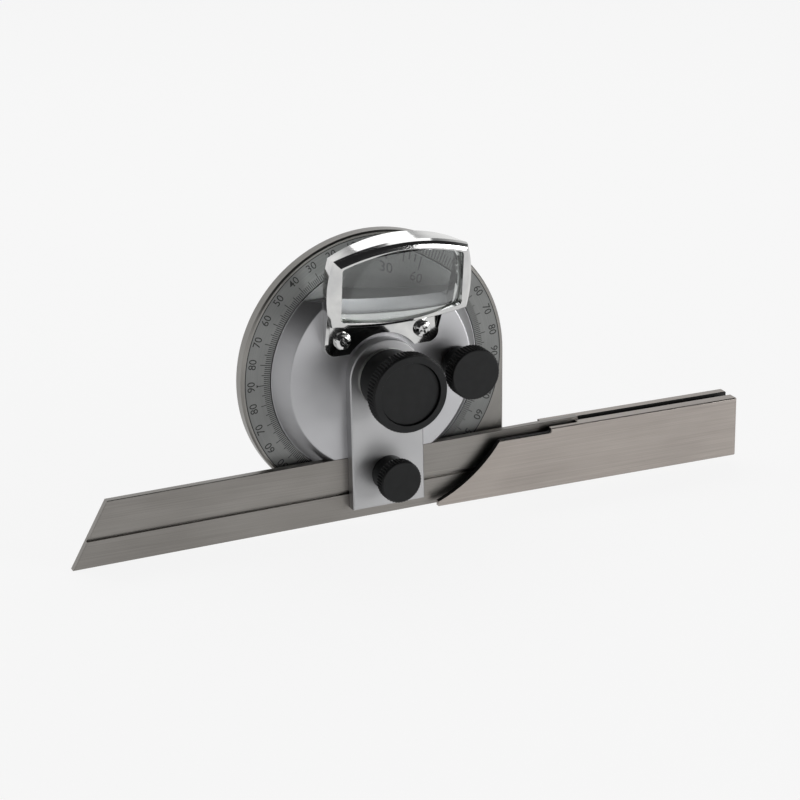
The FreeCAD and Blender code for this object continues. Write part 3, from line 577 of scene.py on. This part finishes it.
def make_lens():
    """Fine mesh of the lens: a polished dome on a flat rim held behind the bezel, flat at the back."""
    piece = NODES["magnifier_lens"]
    turn = lens_turn()
    own = [turn.inverted() @ (piece.matrix_world @ v.co) for v in piece.data.vertices]
    xs, ys, zs = ([v[i] for v in own] for i in range(3))
    half = (max(xs) - min(xs)) / 2
    foot, top = min(zs) + LENS_BOWS[0] * MM, max(zs) - LENS_BOWS[1] * MM
    lap = LENS_LAP * MM
    centre_z = (foot + top) / 2
    front, back = min(ys), max(ys)
    rim = front + sag(half - lap)
    bm = bmesh.new()

    def ring(inset, share, depth_at):
        """Ring of points on a smaller copy of the outline."""
        rows = []
        for x, z in lens_outline(half, foot, top, inset):
            x, z = x * share, (z - centre_z) * share
            rows.append(bm.verts.new((x, depth_at(math.hypot(x, z)), centre_z + z)))
        return rows

    def dome(reach):
        return min(front + sag(reach), rim)

    def flat_rim(reach):
        return rim

    def flat_back(reach):
        return back

    rings = [ring(lap, (i + 1) / LENS_RINGS, dome) for i in range(LENS_RINGS)]
    rings += [ring(lap, 1, flat_rim), ring(0, 1, flat_rim), ring(0, 1, flat_back)]
    rings += [ring(0, 1 - (i + 1) / LENS_RINGS, flat_back) for i in range(LENS_RINGS - 1)]
    for inner, outer in zip(rings, rings[1:]):
        for i in range(len(inner)):
            j = (i + 1) % len(inner)
            bm.faces.new((inner[i], inner[j], outer[j], outer[i]))
    for row, depth in ((rings[0], front), (rings[-1], back)):
        tip = bm.verts.new((0, depth, centre_z))
        for i in range(len(row)):
            bm.faces.new((row[i], row[(i + 1) % len(row)], tip))
    bmesh.ops.recalc_face_normals(bm, faces=bm.faces)
    middle_x = (min(xs) + max(xs)) / 2
    bmesh.ops.transform(bm, matrix=turn @ Matrix.Translation((middle_x, 0, 0)), verts=bm.verts)
    mesh = finish_mesh(bm, "lens_fine")
    mesh.shade_smooth()
    mesh.set_sharp_from_angle(angle=SMOOTH_ANGLE)
    lens = keep("lens_fine", mesh, "turret", LENS_GLASS)
    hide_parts("magnifier_lens")


def sag(reach):
    """How far the lens's dome falls away at this distance from its top."""
    radius = LENS_RADIUS * MM
    return radius - math.sqrt(radius ** 2 - reach ** 2)


VERNIER_OUTER = (high("turret").x - low("turret").x) / 2
SCALE_INNER = VERNIER_OUTER + SCALE_GAP * MM
make_main_scale()
make_rim_line()
make_pointer()
make_vernier_scale()
make_lens()


# ---------------------------------------------------------------- stage, light and camera
def make_stage():
    """White sweep that the tool stands on."""
    reach, z = FLOOR_REACH, CAD_BOX[0][2]
    corners = [(-reach, -reach, z), (reach, -reach, z), (reach, reach, z), (-reach, reach, z)]
    mesh = bpy.data.meshes.new("floor")
    mesh.from_pydata(corners, [], [(0, 1, 2, 3)])
    floor = bpy.data.objects.new("floor", mesh)
    bpy.context.scene.collection.objects.link(floor)
    material, tree, shader = start("white_sweep")
    grain = noise(tree, stretched(tree, (400, 400, 400)))
    tree.links.new(ramp(tree, grain, [(0.3, "#f4f4f4"), (0.7, "#f8f8f8")]), shader.inputs["Base Color"])
    shader.inputs["Roughness"].default_value = 0.9
    glow = add(tree, "Emission", values={"Color": srgb("#ffffff"), "Strength": 1.0})
    part = mathed(tree, "MULTIPLY", {1: FLOOR_GLOW}, {0: seen_directly(tree)})
    mix = add(tree, "MixShader", links={0: part, 1: shader.outputs["BSDF"], 2: glow.outputs["Emission"]})
    out = next(n for n in tree.nodes if n.type == "OUTPUT_MATERIAL")
    tree.links.new(mix.outputs["Shader"], out.inputs["Surface"])
    mesh.materials.append(material)


def seen_directly(tree):
    """1 for camera, glossy and transmission rays."""
    path = add(tree, "LightPath").outputs
    either = mathed(tree, "MAXIMUM", {}, {0: path["Is Camera Ray"], 1: path["Is Transmission Ray"]})
    return mathed(tree, "MAXIMUM", {}, {0: either, 1: path["Is Glossy Ray"]})


def softbox(name, place, aim, size, power):
    """Square soft lamp, aimed at a point."""
    data = bpy.data.lights.new(name, "AREA")
    data.shape = "RECTANGLE"
    data.size, data.size_y = size
    data.energy = power
    lamp = bpy.data.objects.new(name, data)
    lamp.location = place
    lamp.rotation_euler = (Vector(aim) - Vector(place)).to_track_quat("-Z", "Y").to_euler()
    bpy.context.scene.collection.objects.link(lamp)
    return lamp


def eased(tree, value, start_at, full_at, top=1.0):
    """Smooth step of a value from 0 to top."""
    limits = {"From Min": start_at, "From Max": full_at, "To Max": top}
    step = add(tree, "MapRange", {"interpolation_type": "SMOOTHSTEP"}, limits, {"Value": value})
    return step.outputs["Result"]


def make_world():
    """White backdrop behind and to the right; dark room above and behind the camera."""
    world = bpy.data.worlds.new("studio")
    bpy.context.scene.world = world
    world.use_nodes = True
    tree = world.node_tree
    tree.nodes.clear()
    way = add(tree, "TexCoord").outputs["Generated"]
    apart = add(tree, "SeparateXYZ", links={"Vector": way})
    x, y, z = (apart.outputs[i] for i in "XYZ")
    back = eased(tree, y, *BACKDROP_FROM)
    right = eased(tree, x, *RIGHT_WALL_FROM, RIGHT_WALL_LEVEL)
    walls = mathed(tree, "MAXIMUM", {}, {0: back, 1: right})
    lit = mathed(tree, "MULTIPLY", {}, {0: walls, 1: eased(tree, z, *CEILING_FROM)})
    colour = ramp(tree, lit, [(0.0, "#2c2c2d"), (1.0, "#ffffff")])
    studio = add(tree, "Background", values={"Strength": 1.0}, links={"Color": colour})
    white = add(tree, "Background", values={"Color": srgb("#ffffff"), "Strength": 1.0})
    path = add(tree, "LightPath")
    mix = add(tree, "MixShader", links={0: path.outputs["Is Camera Ray"], 1: studio.outputs["Background"],
                                        2: white.outputs["Background"]})
    out = add(tree, "OutputWorld")
    tree.links.new(mix.outputs["Shader"], out.inputs["Surface"])


def make_camera():
    """Camera in front, to the left and a little above."""
    azimuth, elevation = math.radians(VIEW_AZIMUTH), math.radians(VIEW_ELEVATION)
    away = Vector((-math.sin(azimuth) * math.cos(elevation), -math.cos(azimuth) * math.cos(elevation),
                   math.sin(elevation)))
    data = bpy.data.cameras.new("camera")
    data.lens = VIEW_LENS
    data.sensor_width = 36.0
    camera = bpy.data.objects.new("camera", data)
    camera.location = (Vector(VIEW_AIM) + away * VIEW_DISTANCE) * MM
    level = (-away).to_track_quat("-Z", "Y")
    camera.rotation_euler = (level @ Quaternion((0, 0, 1), math.radians(VIEW_ROLL))).to_euler()
    bpy.context.scene.collection.objects.link(camera)
    bpy.context.scene.camera = camera


make_stage()
make_world()
centre = Vector(VIEW_AIM) * MM
for name, place, size, power in LAMPS:
    softbox(name, centre + Vector(place), centre, size, power)
make_camera()
bpy.context.scene.view_settings.view_transform = "Standard"
